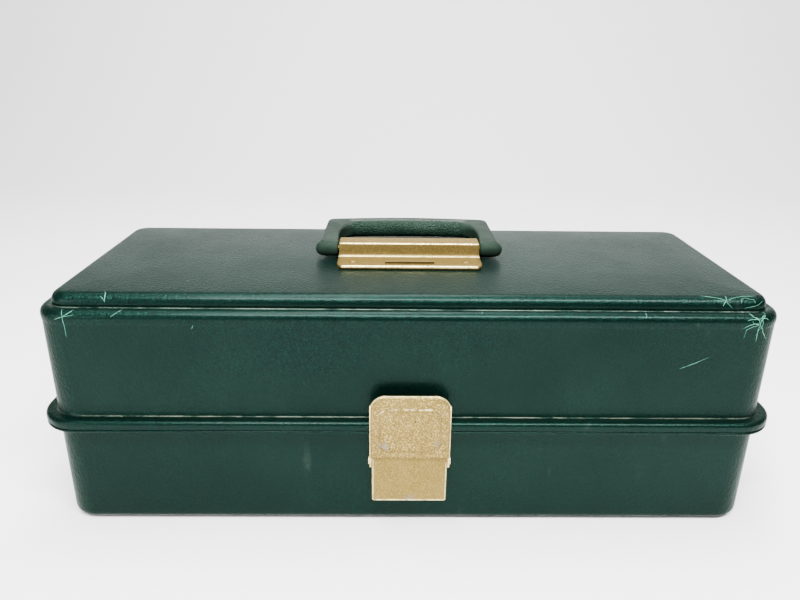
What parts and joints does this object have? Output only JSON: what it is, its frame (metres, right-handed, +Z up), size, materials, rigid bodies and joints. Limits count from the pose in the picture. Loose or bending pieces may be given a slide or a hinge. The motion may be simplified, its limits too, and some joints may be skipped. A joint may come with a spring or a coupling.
{
  "type": "sewing box with trays",
  "caption": "Hinged moulded case with a rolled rim, a fold-down carry handle, a pull latch and two cantilever trays that rise with the lid.",
  "frame": {"origin": "middle of the underside, on the surface the box stands on", "axes": "+X along the length to the right, -Y to the front where the latch is, +Z up"},
  "size_m": [0.4276, 0.1834, 0.1569],
  "materials": {
    "green_case": "pearlescent dark green, fine grain, light scuffs",
    "green_handle": "satin dark green, pebble grain on the grip",
    "gold_metal": "speckled gold lacquer with small chips",
    "plated_steel": "zinc plated, lightly worn",
    "tray_plastic": "satin moulded plastic"
  },
  "bodies": {
    "base": {"base_shell": "green_case", "hinge_pins": "plated_steel", "latch_bracket": "gold_metal", "latch_bracket_rivets": "plated_steel", "latch_pin": "plated_steel", "arm_bracket_left": "plated_steel", "arm_bracket_right": "plated_steel", "arm_bracket_rivets": "gold_metal", "arm_pivot_studs": "plated_steel"},
    "lid": {"lid_shell": "green_case", "handle_bracket": "gold_metal", "bracket_rivets": "gold_metal", "handle_axle": "plated_steel", "keeper_plate": "plated_steel", "keeper_rivets": "plated_steel", "link_bracket_left": "plated_steel", "link_bracket_right": "plated_steel", "link_bracket_rivets": "gold_metal", "lid_link_studs": "plated_steel"},
    "handle": {"handle": "green_handle"},
    "latch": {"latch_lever": "gold_metal", "latch_hook": "plated_steel"},
    "front_arms": {"front_arm_left": "plated_steel", "front_arm_right": "plated_steel"},
    "rear_arms": {"rear_arm_left": "plated_steel", "rear_arm_right": "plated_steel"},
    "lower_tray": {"lower_tray": "tray_plastic", "lower_tray_rivets": "plated_steel"},
    "upper_tray": {"upper_tray": "tray_plastic", "upper_tray_rivets": "plated_steel", "upper_tray_link_studs": "plated_steel"},
    "lid_links": {"lid_link_left": "plated_steel", "lid_link_right": "plated_steel"}
  },
  "joints": [
    {"name": "lid_hinge", "type": "hinge", "parent": "base", "child": "lid", "pos_m": [0, 0.0905, 0.0666], "axis": [-1, 0, 0], "range_deg": [0, 100]},
    {"name": "handle_swing", "type": "hinge", "parent": "lid", "child": "handle", "pos_m": [0, -0.003, 0.1503], "axis": [1, 0, 0], "range_deg": [0, 176]},
    {"name": "latch_lever", "type": "hinge", "parent": "base", "child": "latch", "pos_m": [0, -0.084, 0.046], "axis": [1, 0, 0], "range_deg": [0, 95]},
    {"name": "front_arm_pivot", "type": "hinge", "parent": "base", "child": "front_arms", "pos_m": [0, 0.034, 0.025], "axis": [-1, 0, 0], "range_deg": [0, 60]},
    {"name": "rear_arm_pivot", "type": "hinge", "parent": "base", "child": "rear_arms", "pos_m": [0, 0.057, 0.025], "axis": [-1, 0, 0], "range_deg": [0, 60]},
    {"name": "lower_tray_pivot", "type": "hinge", "parent": "front_arms", "child": "lower_tray", "pos_m": [0, -0.01963, 0.07], "axis": [-1, 0, 0], "range_deg": [-60, 0]},
    {"name": "upper_tray_pivot", "type": "hinge", "parent": "front_arms", "child": "upper_tray", "pos_m": [0, -0.06253, 0.106], "axis": [-1, 0, 0], "range_deg": [-60, 0]},
    {"name": "lid_link_pivot", "type": "hinge", "parent": "lid", "child": "lid_links", "pos_m": [0, 0.052, 0.081], "axis": [-1, 0, 0], "range_deg": [-45, 0]}
  ],
  "couplings": [
    {"joint": "front_arm_pivot", "follows": "lid_hinge", "ratio": 0.6},
    {"joint": "rear_arm_pivot", "follows": "lid_hinge", "ratio": 0.6},
    {"joint": "lower_tray_pivot", "follows": "lid_hinge", "ratio": -0.6},
    {"joint": "upper_tray_pivot", "follows": "lid_hinge", "ratio": -0.6},
    {"joint": "lid_link_pivot", "follows": "lid_hinge", "ratio": -0.45}
  ]
}
